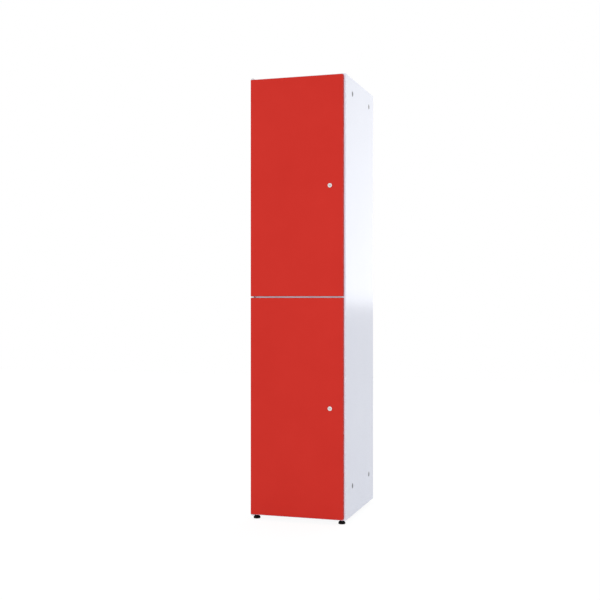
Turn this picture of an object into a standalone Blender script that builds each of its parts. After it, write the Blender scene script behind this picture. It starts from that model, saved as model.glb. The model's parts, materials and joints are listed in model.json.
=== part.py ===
"""Two-door metal storage cabinet, built from folded sheet, pivot hinges, cam locks and screw feet.

Metres, +Z up. The origin is on the floor under the middle of the cabinet, the doors face -Y,
and each door hangs on its left edge as seen from the front.
"""

import math

import bmesh
import bpy
from mathutils import Matrix, Vector

# Overall size of the cabinet
BODY_WIDTH = 0.400
BODY_HEIGHT = 1.780
OVERALL_DEPTH = 0.500
FOOT_HEIGHT = 0.016

# Sheet metal
SHEET = 0.001
INNER_BEND = 0.0006
FIT = 0.0003
SIDE_FLANGE = 0.020
HEM_WIDTH = 0.010
HEM_GAP = 0.0004
TOP_FLANGE = 0.020
BASE_RISE = 0.020
BASE_LIP = 0.050
SHELF_FLANGE = 0.024
SHELF_LIP = 0.012
LIP_RELIEF = 0.004

# Doors
DOOR_THICKNESS = 0.020
DOOR_REVEAL = 0.006
DOOR_LIP = 0.015
DOOR_CLEARANCE = 0.0025
LINER_BORDER = 0.004
LINER_SLOPE = 0.006
BUMPER_DIAMETER = 0.010
BUMPER_INSET = 0.040

# Pivot hinges
PIVOT_INSET = 0.007
PIN_DIAMETER = 0.006
PIN_REACH = 0.012
PIN_HEAD_DIAMETER = 0.010
PIN_HEAD_HEIGHT = 0.0013
BUSH_WALL = 0.0015
BUSH_LENGTH = 0.010
BUSH_FLANGE_WIDTH = 0.0014
BUSH_FLANGE_HEIGHT = 0.00115
BRACKET_THICKNESS = 0.0025
BRACKET_WIDTH = 0.013
HEADROOM = 0.002

# Cam locks
LOCK_INSET = 0.053
LOCK_HEAD_DIAMETER = 0.018
LOCK_HEAD_HEIGHT = 0.0022
LOCK_HEAD_BEVEL = 0.0008
BARREL_DIAMETER = 0.014
BARREL_FLAT_DEPTH = 0.0007
PLUG_DIAMETER = 0.010
KEYWAY_LENGTH = 0.0062
KEYWAY_WIDTH = 0.0016
KEYWAY_DEPTH = 0.014
LOCK_NUT_ACROSS_FLATS = 0.019
LOCK_NUT_HEIGHT = 0.003
CAM_THICKNESS = 0.0025
CAM_WIDTH = 0.014
CAM_TIP_CHAMFER = 0.0035
CAM_OVERLAP = 0.008
CAM_GAP = 0.0006
TAIL_WIDTH = 0.0065
CAM_SCREW_DIAMETER = 0.0035
CAM_SCREW_LENGTH = 0.008
CAM_SCREW_HEAD_DIAMETER = 0.0095
CAM_SCREW_HEAD_HEIGHT = 0.0025

# Holes for bolting neighbouring cabinets together, and their plugs
LINK_HOLE_DIAMETER = 0.021
LINK_HOLE_FROM_FRONT = 0.110
LINK_HOLE_FROM_REAR = 0.082
LINK_HOLE_BELOW_TOP = 0.0615
LINK_HOLE_ABOVE_BASE = 0.120
PLUG_RIM_WIDTH = 0.0025
PLUG_RIM_HEIGHT = 0.0012

# Coat hooks
HOOK_STRIP = 0.0025
HOOK_WIDTH = 0.018
HOOK_PLATE = 0.034
HOOK_DROP = 0.036
HOOK_REACH = 0.018
HOOK_TIP = 0.016
HOOK_BEND = 0.006

# Feet
PAD_BASE_DIAMETER = 0.028
PAD_NECK_DIAMETER = 0.016
PAD_NECK_HEIGHT = 0.0015
PAD_RIM_HEIGHT = 0.0055
PAD_SOCKET_DEPTH = 0.012
STUD_DIAMETER = 0.008
NUT_ACROSS_FLATS = 0.013
NUT_HEIGHT = 0.0065
FOOT_FROM_SIDE = 0.020
FOOT_FROM_FRONT = 0.0165
REAR_FOOT_INSET = 0.034

# Planes of the body that follow from the sizes above
OUTER_BEND = SHEET + INNER_BEND
HALF_WIDTH = BODY_WIDTH / 2
BODY_BOTTOM = FOOT_HEIGHT
BODY_TOP = BODY_BOTTOM + BODY_HEIGHT
BODY_MIDDLE = BODY_BOTTOM + BODY_HEIGHT / 2
LOCK_PROJECTION = FIT + LOCK_HEAD_HEIGHT
DOOR_FRONT = (LOCK_PROJECTION - OVERALL_DEPTH) / 2
DOOR_BACK = DOOR_FRONT + DOOR_THICKNESS
BODY_FRONT = DOOR_BACK + DOOR_CLEARANCE
BODY_REAR = DOOR_FRONT + OVERALL_DEPTH
FLANGE_BACK = BODY_FRONT + 2 * SHEET + HEM_GAP
FLANGE_EDGE = HALF_WIDTH - SIDE_FLANGE
BACK_PANEL_REAR = BODY_REAR - SHEET - FIT
TRAY_REAR = BACK_PANEL_REAR - SHEET - FIT
TRAY_HALF_WIDTH = HALF_WIDTH - SHEET - FIT
SHELF_TOP = BODY_MIDDLE + SHELF_FLANGE / 2
BASE_TOP = BODY_BOTTOM + BASE_RISE
PAD_TOP = BODY_BOTTOM - FIT
PAD_FLOOR = PAD_TOP - PAD_SOCKET_DEPTH

# Doors and hinge stack that follow from the sizes above
BUSH_STACK = BUSH_FLANGE_HEIGHT + 2 * FIT
DOOR_SPACING = BRACKET_THICKNESS + 2 * BUSH_STACK
DOOR_WIDTH = BODY_WIDTH - 2 * DOOR_REVEAL
DOOR_HEIGHT = (BODY_HEIGHT - 2 * DOOR_REVEAL - DOOR_SPACING) / 2
LOWER_DOOR_BOTTOM = BODY_BOTTOM + DOOR_REVEAL
UPPER_DOOR_BOTTOM = LOWER_DOOR_BOTTOM + DOOR_HEIGHT + DOOR_SPACING
PIVOT_X = -DOOR_WIDTH / 2 + PIVOT_INSET
PIVOT_Y = DOOR_FRONT + PIVOT_INSET
PIN_HOLE = PIN_DIAMETER + 2 * FIT
BUSH_DIAMETER = PIN_HOLE + 2 * BUSH_WALL
BOTTOM_BRACKET = LOWER_DOOR_BOTTOM - BUSH_STACK - BRACKET_THICKNESS
MIDDLE_BRACKET = LOWER_DOOR_BOTTOM + DOOR_HEIGHT + BUSH_STACK
TOP_BRACKET = UPPER_DOOR_BOTTOM + DOOR_HEIGHT + BUSH_STACK
BRACKET_LEG = BASE_TOP - SHEET - HEADROOM - BOTTOM_BRACKET
LOCK_X = DOOR_WIDTH / 2 - LOCK_INSET
CAM_FRONT = FLANGE_BACK + CAM_GAP
CAM_LENGTH = FLANGE_EDGE - LOCK_X + CAM_OVERLAP
BARREL_END = CAM_FRONT - FIT

# Fineness of round stretches, reach of the cutters, and angles and turns used for several pieces
ROUND_STEPS = 24
BEND_STEPS = 3
BELL_STEPS = 5
NUT_CHAMFER = math.radians(30)
SMOOTH_ANGLE = math.radians(35)
MERGE = 1e-6
CUT = 2 * SHEET
UPRIGHT = Matrix.Rotation(math.radians(90), 4, "X")
UPSIDE_DOWN = Matrix.Rotation(math.radians(180), 4, "X")

# Edges of a notched panel's outline, counted from its front
NOTCH_EDGES = (2, 6)
SIDE_EDGES = (3, 5)


def clear_scene():
    """Remove whatever the scene holds, so that the script can be run again."""
    for item in list(bpy.data.objects):
        bpy.data.objects.remove(item, do_unlink=True)


def make_material(name, colour, roughness, metallic):
    """Return a Principled material of one colour."""
    material = bpy.data.materials.new(name)
    material.use_nodes = True
    shader = material.node_tree.nodes["Principled BSDF"]
    shader.inputs["Base Color"].default_value = (*colour, 1.0)
    shader.inputs["Roughness"].default_value = roughness
    shader.inputs["Metallic"].default_value = metallic
    material.diffuse_color = (*colour, 1.0)
    return material


def finish_mesh(bm, name):
    """Turn a bmesh into a mesh with outward faces, smooth on its round stretches."""
    bmesh.ops.remove_doubles(bm, verts=bm.verts, dist=MERGE)
    bmesh.ops.recalc_face_normals(bm, faces=bm.faces)
    mesh = bpy.data.meshes.new(name)
    bm.to_mesh(mesh)
    bm.free()
    mesh.shade_smooth()
    mesh.set_sharp_from_angle(angle=SMOOTH_ANGLE)
    return mesh


def bake(mesh, modifiers):
    """Return the mesh that a list of (type, settings) modifiers makes of another."""
    holder = bpy.data.objects.new("holder", mesh)
    bpy.context.scene.collection.objects.link(holder)
    for kind, settings in modifiers:
        modifier = holder.modifiers.new(kind.title(), kind)
        for key, value in settings.items():
            setattr(modifier, key, value)
    bpy.context.view_layer.update()
    graph = bpy.context.evaluated_depsgraph_get()
    baked = bpy.data.meshes.new_from_object(holder.evaluated_get(graph))
    bpy.data.objects.remove(holder, do_unlink=True)
    baked.shade_smooth()
    baked.set_sharp_from_angle(angle=SMOOTH_ANGLE)
    return baked


def combine(mesh, tools, operation="DIFFERENCE"):
    """Cut tool meshes out of a mesh, or, by the operation, join them to it or keep what they share."""
    holders = []
    modifiers = []
    for tool in tools:
        holder = bpy.data.objects.new("tool", tool)
        bpy.context.scene.collection.objects.link(holder)
        holders.append(holder)
        modifiers.append(("BOOLEAN", {"object": holder, "operation": operation, "solver": "EXACT"}))
    result = bake(mesh, modifiers)
    for holder in holders:
        bpy.data.objects.remove(holder, do_unlink=True)
    return result


def moved(mesh, matrix):
    """Return a mesh after moving its points by a matrix."""
    mesh.transform(matrix)
    return mesh


def prism(outline, low, high):
    """Extrude a flat outline from one height to another."""
    bm = bmesh.new()
    face = bm.faces.new([bm.verts.new((x, y, low)) for x, y in outline])
    grown = bmesh.ops.extrude_face_region(bm, geom=[face])
    top = [item for item in grown["geom"] if isinstance(item, bmesh.types.BMVert)]
    bmesh.ops.translate(bm, verts=top, vec=(0, 0, high - low))
    return finish_mesh(bm, "prism")


def box(low, high):
    """Make a box between two opposite corners."""
    outline = [(low[0], low[1]), (high[0], low[1]), (high[0], high[1]), (low[0], high[1])]
    return prism(outline, low[2], high[2])


def turned(profile):
    """Turn a closed profile of (radius, height) points about Z."""
    bm = bmesh.new()
    verts = [bm.verts.new((radius, 0, height)) for radius, height in profile]
    edges = [bm.edges.new((verts[i - 1], verts[i])) for i in range(len(verts))
             if profile[i - 1][0] > 0 or profile[i][0] > 0]
    bmesh.ops.spin(bm, geom=verts + edges, axis=(0, 0, 1), cent=(0, 0, 0),
                   angle=2 * math.pi, steps=ROUND_STEPS, use_merge=True)
    bmesh.ops.remove_doubles(bm, verts=bm.verts, dist=MERGE)
    bmesh.ops.dissolve_degenerate(bm, edges=bm.edges, dist=MERGE)
    return finish_mesh(bm, "turned")


def arc(radius, start, end, steps):
    """List the points of an arc about the origin, between two angles in degrees."""
    angles = [math.radians(start + (end - start) * i / steps) for i in range(steps + 1)]
    return [(radius * math.cos(angle), radius * math.sin(angle)) for angle in angles]


def rod(diameter, low, high):
    """Make a round bar along Z."""
    return prism(arc(diameter / 2, 0, 360, ROUND_STEPS)[:-1], low, high)


def flatted_rod(diameter, flat_depth, low, high):
    """Make a round bar along Z with two flats facing X."""
    start = math.degrees(math.acos(1 - 2 * flat_depth / diameter))
    half = arc(diameter / 2, start, 180 - start, ROUND_STEPS // 2)
    return prism(half + [(-x, -y) for x, y in half], low, high)


def chamfered_nut(across_flats, low, high, hole):
    """Make a hexagon nut along Z with a plain hole, two flats facing X and its corners chamfered."""
    corner = across_flats / math.sqrt(3)
    bar = prism(arc(corner, 30, 390, 6)[:-1], low, high)
    inner = across_flats / 2 - FIT
    outer = corner + FIT
    rise = (outer - inner) * math.tan(NUT_CHAMFER)
    blank = turned([(0, high), (inner, high), (outer, high - rise),
                    (outer, low + rise), (inner, low), (0, low)])
    nut = combine(bar, [blank], "INTERSECT")
    return combine(nut, [rod(hole, low - CUT, high + CUT)])


def bent_path(points, bend):
    """Round the corners of a polyline, no further than half of each short stretch."""
    path = [Vector(points[0])]
    for before, corner, after in zip(points, points[1:], points[2:]):
        before, corner, after = Vector(before), Vector(corner), Vector(after)
        way_in = (corner - before).normalized()
        way_out = (after - corner).normalized()
        turn = way_in.angle_signed(way_out)
        shortest = min((corner - before).length, (after - corner).length)
        reach = min(bend * math.tan(abs(turn) / 2), shortest / 2)
        start = corner - way_in * reach
        radius = reach / math.tan(abs(turn) / 2)
        side = -math.copysign(1.0, turn)
        centre = start + Vector((-way_in.y, way_in.x)) * radius * side
        for step in range(BEND_STEPS + 1):
            spin = Matrix.Rotation(-turn * step / BEND_STEPS, 2)
            path.append(centre + spin @ (start - centre))
    path.append(Vector(points[-1]))
    return [point for i, point in enumerate(path) if i == 0 or (point - path[i - 1]).length > MERGE]


def strip(points, thickness, bend, low, high):
    """Fold a strip of sheet along a centre line and extrude it across its width."""
    path = bent_path(points, bend)
    left = []
    right = []
    for i, point in enumerate(path):
        last = len(path) - 1
        ahead = path[min(i, last - 1) + 1] - path[min(i, last - 1)]
        behind = path[max(i, 1)] - path[max(i, 1) - 1]
        normal = Vector((-ahead.y, ahead.x)).normalized() + Vector((-behind.y, behind.x)).normalized()
        normal = normal / normal.length_squared * 2
        left.append(point + normal * thickness / 2)
        right.append(point - normal * thickness / 2)
    return prism([(p.x, p.y) for p in left + right[::-1]], low, high)


def inward(outline, i):
    """Return the unit vector that points from edge i of an anticlockwise outline to its inside."""
    start = Vector(outline[i])
    end = Vector(outline[(i + 1) % len(outline)])
    along = (end - start).normalized()
    return Vector((-along.y, along.x))


def lip_end(outline, lips, edge, corner, neighbour):
    """Return where a lip leaves its wall at one corner and where its inner edge ends there.

    Beside another lip the two are mitred, and beside a plain wall the lip is relieved.
    """
    point = Vector(outline[corner])
    away = inward(outline, edge) * lips[edge]
    aside = inward(outline, neighbour)
    if neighbour in lips:
        return point, point + away + aside * lips[neighbour]
    point = point + aside * LIP_RELIEF
    return point, point + away


def tray(outline, depth, bare=(), lips=None):
    """Fold a sheet tray with its plate at Z = 0, walls down and lips turned in below.

    bare holds the edges of the outline that get no wall, and lips the lip width of each edge.
    """
    lips = lips or {}
    count = len(outline)
    bm = bmesh.new()
    upper = [bm.verts.new((x, y, 0)) for x, y in outline]
    lower = [bm.verts.new((x, y, -depth)) for x, y in outline]
    bm.faces.new(upper)
    for i in range(count):
        j = (i + 1) % count
        if i in bare:
            continue
        if i not in lips:
            bm.faces.new((upper[j], upper[i], lower[i], lower[j]))
            continue
        start, inner_start = lip_end(outline, lips, i, i, (i - 1) % count)
        end, inner_end = lip_end(outline, lips, i, j, j)
        corners = [bm.verts.new((*point, -depth)) for point in (start, end, inner_end, inner_start)]
        bm.faces.new((upper[j], upper[i], lower[i], corners[0], corners[1], lower[j]))
        bm.faces.new((corners[1], corners[0], corners[3], corners[2]))
    bmesh.ops.delete(bm, geom=[v for v in lower if not v.link_faces], context="VERTS")
    bmesh.ops.remove_doubles(bm, verts=bm.verts, dist=MERGE)
    mesh = bpy.data.meshes.new("tray")
    bm.to_mesh(mesh)
    bm.free()
    return thicken(mesh)


def thicken(mesh):
    """Give a folded surface its bends and its sheet thickness, inwards from its faces."""
    bend = {"width": OUTER_BEND, "segments": BEND_STEPS - 1, "limit_method": "ANGLE",
            "angle_limit": SMOOTH_ANGLE}
    skin = {"thickness": SHEET, "offset": -1, "use_even_offset": True, "use_quality_normals": True}
    return bake(mesh, [("BEVEL", bend), ("SOLIDIFY", skin)])


def add(name, mesh, material, location=(0, 0, 0), rotation=None, parent=None):
    """Place a mesh as a named piece, given its world place and the empty that carries it."""
    piece = bpy.data.objects.new(name, mesh)
    bpy.context.scene.collection.objects.link(piece)
    if not mesh.materials:
        mesh.materials.append(material)
    place = Vector(location)
    if parent is not None:
        piece.parent = parent
        place = place - parent.location
    piece.location = place
    if rotation is not None:
        piece.rotation_euler = rotation.to_euler()
    return piece


def add_axis(name, location):
    """Add an empty on a joint's axis, for the pieces that move with it."""
    empty = bpy.data.objects.new(name, None)
    empty.location = location
    bpy.context.scene.collection.objects.link(empty)
    return empty


def link_hole_places():
    """List the (y, z) centres of the linking holes in a side."""
    return [(y, z)
            for y in (BODY_FRONT + LINK_HOLE_FROM_FRONT, BODY_REAR - LINK_HOLE_FROM_REAR)
            for z in (BODY_BOTTOM + LINK_HOLE_ABOVE_BASE, BODY_TOP - LINK_HOLE_BELOW_TOP)]


def side_mesh(sign):
    """Fold one side: hemmed front flange, wall and rear flange, with its linking holes."""
    hem_y = FLANGE_BACK - SHEET / 2
    front_y = BODY_FRONT + SHEET / 2
    rear_y = BODY_REAR - SHEET / 2
    edge_x = FLANGE_EDGE + SHEET / 2
    wall_x = HALF_WIDTH - SHEET / 2
    line = [(edge_x + HEM_WIDTH, hem_y), (edge_x, hem_y), (edge_x, front_y), (wall_x, front_y),
            (wall_x, rear_y), (FLANGE_EDGE, rear_y)]
    line = [(sign * x, y) for x, y in line]
    mesh = strip(line, SHEET, INNER_BEND + SHEET / 2, BODY_BOTTOM, BODY_TOP)
    across = Matrix.Rotation(math.radians(90), 4, "Y")
    drills = []
    for y, z in link_hole_places():
        drill = rod(LINK_HOLE_DIAMETER, -CUT, CUT)
        drills.append(moved(drill, Matrix.Translation((sign * wall_x, y, z)) @ across))
    return combine(mesh, drills)


def bracket_slots():
    """Make the cutters of the openings that the hinge brackets pass through in the left flange."""
    outer = PIVOT_X - BRACKET_WIDTH / 2 - FIT
    spans = [(BODY_BOTTOM - CUT, BOTTOM_BRACKET + BRACKET_THICKNESS + FIT),
             (MIDDLE_BRACKET - FIT, MIDDLE_BRACKET + BRACKET_THICKNESS + FIT),
             (TOP_BRACKET - FIT, BODY_TOP + CUT)]
    return [box((outer, BODY_FRONT - CUT, low), (-FLANGE_EDGE + CUT, FLANGE_BACK + CUT, high))
            for low, high in spans]


def tray_outline():
    """Plan of a horizontal panel between the sides, flush with their front flanges and notched round them."""
    wide = TRAY_HALF_WIDTH
    narrow = FLANGE_EDGE - FIT
    step = FLANGE_BACK + FIT
    return [(-narrow, BODY_FRONT), (narrow, BODY_FRONT), (narrow, step), (wide, step),
            (wide, TRAY_REAR), (-wide, TRAY_REAR), (-wide, step), (-narrow, step)]


def foot_places():
    """List the name and the (x, y) place of each foot."""
    front_x = HALF_WIDTH - FOOT_FROM_SIDE
    front_y = BODY_FRONT + FOOT_FROM_FRONT
    rear_x = HALF_WIDTH - REAR_FOOT_INSET
    rear_y = BODY_REAR - REAR_FOOT_INSET
    return [("front_left", -front_x, front_y), ("front_right", front_x, front_y),
            ("rear_left", -rear_x, rear_y), ("rear_right", rear_x, rear_y)]


def base_mesh():
    """Fold the raised floor, whose side lips carry the feet."""
    mesh = tray(tray_outline(), BASE_RISE, NOTCH_EDGES, {edge: BASE_LIP for edge in SIDE_EDGES})
    moved(mesh, Matrix.Translation((0, 0, BASE_TOP)))
    drills = []
    for _, x, y in foot_places():
        drill = rod(STUD_DIAMETER + 2 * FIT, BODY_BOTTOM - CUT, BODY_BOTTOM + CUT)
        drills.append(moved(drill, Matrix.Translation((x, y, 0))))
    return combine(mesh, drills)


def build_carcass(paint):
    """Sides, back, top, base and middle shelf."""
    left = combine(side_mesh(-1), bracket_slots())
    add("left_side", left, paint)
    add("right_side", side_mesh(1), paint)
    back = box((-TRAY_HALF_WIDTH, BACK_PANEL_REAR - SHEET, BODY_BOTTOM),
               (TRAY_HALF_WIDTH, BACK_PANEL_REAR, BODY_TOP))
    add("back_panel", back, paint)
    top = tray(tray_outline(), TOP_FLANGE, NOTCH_EDGES)
    add("top_panel", top, paint, (0, 0, BODY_TOP))
    add("base_panel", base_mesh(), paint)
    shelf = tray(tray_outline(), SHELF_FLANGE, NOTCH_EDGES, {0: SHELF_LIP})
    add("middle_shelf", shelf, paint, (0, 0, SHELF_TOP))


def bracket_mesh(leg):
    """Make an L-shaped pivot bracket, its tongue forward to the pin and its leg behind the flange."""
    half = BRACKET_WIDTH / 2
    inner = FLANGE_BACK + FIT
    outer = inner + BRACKET_THICKNESS
    tongue = prism([(-half, PIVOT_Y), (half, PIVOT_Y), (half, outer), (-half, outer)], 0, BRACKET_THICKNESS)
    upright = box((-half, inner, min(leg, 0)), (half, outer, max(leg, BRACKET_THICKNESS)))
    nose = moved(rod(BRACKET_WIDTH, 0, BRACKET_THICKNESS), Matrix.Translation((0, PIVOT_Y, 0)))
    mesh = combine(tongue, [upright, nose], "UNION")
    hole = rod(PIN_HOLE, -CUT, BRACKET_THICKNESS + CUT)
    return combine(mesh, [moved(hole, Matrix.Translation((0, PIVOT_Y, 0)))])


def build_hinges(paint, steel):
    """Brackets in the three gaps beside the doors, with their pivot pins."""
    leg_up = BRACKET_LEG
    leg_down = BRACKET_THICKNESS - BRACKET_LEG
    for name, height, leg in (("bottom", BOTTOM_BRACKET, leg_up), ("middle", MIDDLE_BRACKET, leg_down),
                              ("top", TOP_BRACKET, leg_down)):
        add(f"{name}_hinge_bracket", bracket_mesh(leg), paint, (PIVOT_X, 0, height))
    radius = PIN_DIAMETER / 2
    reach = BRACKET_THICKNESS + BUSH_STACK + PIN_REACH
    headed = turned([(0, reach), (radius, reach), (radius, -FIT), (PIN_HEAD_DIAMETER / 2, -FIT),
                     (PIN_HEAD_DIAMETER / 2, -FIT - PIN_HEAD_HEIGHT), (0, -FIT - PIN_HEAD_HEIGHT)])
    add("bottom_hinge_pin", headed, steel, (PIVOT_X, PIVOT_Y, BOTTOM_BRACKET))
    add("top_hinge_pin", headed, steel, (PIVOT_X, PIVOT_Y, TOP_BRACKET + BRACKET_THICKNESS), UPSIDE_DOWN)
    double = rod(PIN_DIAMETER, BRACKET_THICKNESS - reach, reach)
    add("middle_hinge_pin", double, steel, (PIVOT_X, PIVOT_Y, MIDDLE_BRACKET))


def door_skin_mesh():
    """Fold a door skin: front, four walls and a lip all round its open back."""
    half = DOOR_WIDTH / 2
    outline = [(-half, 0), (half, 0), (half, DOOR_HEIGHT), (-half, DOOR_HEIGHT)]
    mesh = tray(outline, DOOR_THICKNESS, (), {edge: DOOR_LIP for edge in range(4)})
    moved(mesh, Matrix.Translation((0, DOOR_FRONT, 0)) @ UPRIGHT)
    lock_drill = flatted_rod(BARREL_DIAMETER + 2 * FIT, BARREL_FLAT_DEPTH, -CUT, CUT)
    moved(lock_drill, Matrix.Translation((LOCK_X, DOOR_FRONT, DOOR_HEIGHT / 2)) @ UPRIGHT)
    drills = [lock_drill]
    for height in (0, DOOR_HEIGHT):
        drill = rod(BUSH_DIAMETER + 2 * FIT, height - CUT, height + CUT)
        drills.append(moved(drill, Matrix.Translation((PIVOT_X, PIVOT_Y, 0))))
    return combine(mesh, drills)


def liner_mesh():
    """Press a door liner, whose field stands flush with the lips that hold its border."""
    margin = SHEET + FIT
    half = DOOR_WIDTH / 2 - margin
    bm = bmesh.new()
    corners = [(-half, margin), (half, margin), (half, DOOR_HEIGHT - margin), (-half, DOOR_HEIGHT - margin)]
    field = bm.faces.new([bm.verts.new((x, DOOR_BACK - margin, z)) for x, z in reversed(corners)])
    bm.normal_update()
    for width in (DOOR_LIP - margin + LINER_BORDER, LINER_SLOPE):
        bmesh.ops.inset_region(bm, faces=[field], thickness=width, use_boundary=True, use_even_offset=True)
    bmesh.ops.translate(bm, verts=field.verts, vec=(0, margin, 0))
    mesh = bpy.data.meshes.new("liner")
    bm.to_mesh(mesh)
    bm.free()
    mesh = thicken(mesh)
    drill = rod(BARREL_DIAMETER + 2 * FIT, -CUT, CUT)
    moved(drill, Matrix.Translation((LOCK_X, DOOR_BACK, DOOR_HEIGHT / 2)) @ UPRIGHT)
    return combine(mesh, [drill])


def bush_mesh():
    """Turn a flanged bush for the top edge of a door, its flange above Z = 0."""
    bore = PIN_HOLE / 2
    outer = BUSH_DIAMETER / 2
    flange = outer + BUSH_FLANGE_WIDTH
    return turned([(bore, FIT + BUSH_FLANGE_HEIGHT), (flange, FIT + BUSH_FLANGE_HEIGHT), (flange, FIT),
                   (outer, FIT), (outer, -BUSH_LENGTH), (bore, -BUSH_LENGTH)])


def lock_housing_mesh():
    """Make a lock housing: a turned head before the door, and a barrel whose flats keep it from turning."""
    head = LOCK_HEAD_DIAMETER / 2
    face = LOCK_PROJECTION
    end = DOOR_FRONT - BARREL_END
    mesh = turned([(0, face), (head - LOCK_HEAD_BEVEL, face), (head, face - LOCK_HEAD_BEVEL),
                   (head, FIT), (0, FIT)])
    barrel = flatted_rod(BARREL_DIAMETER, BARREL_FLAT_DEPTH, end, LOCK_HEAD_HEIGHT)
    mesh = combine(mesh, [barrel], "UNION")
    return combine(mesh, [rod(PLUG_DIAMETER + 2 * FIT, end - CUT, face + CUT)])


def lock_nut_mesh():
    """Make the nut that holds a lock housing against the liner."""
    start = DOOR_FRONT - DOOR_BACK - FIT
    return chamfered_nut(LOCK_NUT_ACROSS_FLATS, start - LOCK_NUT_HEIGHT, start, BARREL_DIAMETER + 2 * FIT)


def lock_plug_mesh():
    """Make the turning plug, with a keyway across its face and a square tail that drives the cam."""
    face = LOCK_HEAD_HEIGHT
    end = DOOR_FRONT - BARREL_END
    tail_end = DOOR_FRONT - CAM_FRONT - CAM_THICKNESS
    half = TAIL_WIDTH / 2
    body = rod(PLUG_DIAMETER, end, face)
    tail = box((-half, -half, tail_end), (half, half, end + CAM_THICKNESS))
    body = combine(body, [tail], "UNION")
    keyway = box((-KEYWAY_LENGTH / 2, -KEYWAY_WIDTH / 2, face - KEYWAY_DEPTH),
                 (KEYWAY_LENGTH / 2, KEYWAY_WIDTH / 2, face + CUT))
    thread = rod(CAM_SCREW_DIAMETER + 2 * FIT, tail_end - CUT, tail_end + CAM_SCREW_LENGTH)
    return combine(body, [keyway, thread])


def cam_mesh():
    """Make the cam, a tongue along +Y on the plug's tail, upright when the lock is open."""
    half = CAM_WIDTH / 2
    start = DOOR_FRONT - CAM_FRONT
    heel = arc(half, 180, 360, ROUND_STEPS // 2)
    narrow = half - CAM_TIP_CHAMFER
    shoulder = CAM_LENGTH - CAM_TIP_CHAMFER
    tip = [(half, shoulder), (narrow, CAM_LENGTH), (-narrow, CAM_LENGTH), (-half, shoulder)]
    tongue = prism(heel + tip, start - CAM_THICKNESS, start)
    half_hole = TAIL_WIDTH / 2 + FIT
    hole = box((-half_hole, -half_hole, start - CAM_THICKNESS - CUT), (half_hole, half_hole, start + CUT))
    return combine(tongue, [hole])


def cam_screw_mesh():
    """Turn the screw that holds the cam on the plug's tail."""
    start = DOOR_FRONT - CAM_FRONT - CAM_THICKNESS - FIT
    radius = CAM_SCREW_DIAMETER / 2
    head = CAM_SCREW_HEAD_DIAMETER / 2
    reach = start + CAM_SCREW_LENGTH - FIT
    return turned([(0, reach), (radius, reach), (radius, start), (head, start),
                   (head, start - CAM_SCREW_HEAD_HEIGHT), (0, start - CAM_SCREW_HEAD_HEIGHT)])


def build_doors(red, steel, chrome, nylon):
    """Both doors with their bushes and locks, each on an empty on its axis."""
    skin = door_skin_mesh()
    liner = liner_mesh()
    bush = bush_mesh()
    housing = lock_housing_mesh()
    nut = lock_nut_mesh()
    plug = lock_plug_mesh()
    cam = cam_mesh()
    screw = cam_screw_mesh()
    for name, bottom in (("lower", LOWER_DOOR_BOTTOM), ("upper", UPPER_DOOR_BOTTOM)):
        hinge = add_axis(f"{name}_door_hinge", (PIVOT_X, PIVOT_Y, bottom))
        add(f"{name}_door_skin", skin, red, (0, 0, bottom), None, hinge)
        add(f"{name}_door_liner", liner, red, (0, 0, bottom), None, hinge)
        add(f"{name}_door_top_bush", bush, nylon, (PIVOT_X, PIVOT_Y, bottom + DOOR_HEIGHT), None, hinge)
        add(f"{name}_door_bottom_bush", bush, nylon, (PIVOT_X, PIVOT_Y, bottom), UPSIDE_DOWN, hinge)
        centre = (LOCK_X, DOOR_FRONT, bottom + DOOR_HEIGHT / 2)
        add(f"{name}_lock_housing", housing, chrome, centre, UPRIGHT, hinge)
        add(f"{name}_lock_nut", nut, steel, centre, UPRIGHT, hinge)
        axis = add_axis(f"{name}_lock_axis", centre)
        add(f"{name}_lock_plug", plug, chrome, centre, UPRIGHT, axis)
        add(f"{name}_lock_cam", cam, steel, centre, UPRIGHT, axis)
        add(f"{name}_lock_screw", screw, steel, centre, UPRIGHT, axis)


def build_bumpers(rubber):
    """Rubber bumpers on the right flange, behind the free corners of the doors."""
    thickness = DOOR_CLEARANCE - 2 * FIT
    bumper = moved(rod(BUMPER_DIAMETER, FIT, FIT + thickness), UPRIGHT)
    x = FLANGE_EDGE + (SIDE_FLANGE - DOOR_REVEAL) / 2
    for name, bottom in (("lower", LOWER_DOOR_BOTTOM), ("upper", UPPER_DOOR_BOTTOM)):
        for end, height in (("bottom", BUMPER_INSET), ("top", DOOR_HEIGHT - BUMPER_INSET)):
            add(f"{name}_{end}_bumper", bumper, rubber, (x, BODY_FRONT, bottom + height))


def build_hole_plugs(grey):
    """Plugs pressed from inside into the linking holes, flush with the outside of the sides."""
    radius = LINK_HOLE_DIAMETER / 2 - FIT
    rim = LINK_HOLE_DIAMETER / 2 + PLUG_RIM_WIDTH
    seat = -SHEET - FIT
    plug = turned([(0, 0), (radius, 0), (radius, seat), (rim, seat), (rim, seat - PLUG_RIM_HEIGHT),
                   (0, seat - PLUG_RIM_HEIGHT)])
    for side, sign in (("left", -1), ("right", 1)):
        outwards = Matrix.Rotation(math.radians(90) * sign, 4, "Y")
        for number, (y, z) in enumerate(link_hole_places(), 1):
            add(f"{side}_hole_plug_{number}", plug, grey, (sign * HALF_WIDTH, y, z), outwards)


def build_hooks(steel):
    """A double coat hook under the ceiling of each compartment, bent from one strip."""
    half = HOOK_PLATE / 2
    ceiling = -SHEET - FIT - HOOK_STRIP / 2
    low = ceiling - HOOK_DROP
    out = half + HOOK_REACH
    line = [(-out, low + HOOK_TIP), (-out, low), (-half, low), (-half, ceiling),
            (half, ceiling), (half, low), (out, low), (out, low + HOOK_TIP)]
    hook = moved(strip(line, HOOK_STRIP, HOOK_BEND, -HOOK_WIDTH / 2, HOOK_WIDTH / 2), UPRIGHT)
    for name, height in (("lower", SHELF_TOP), ("upper", BODY_TOP)):
        add(f"{name}_coat_hook", hook, steel, (0, 0, height))


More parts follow.
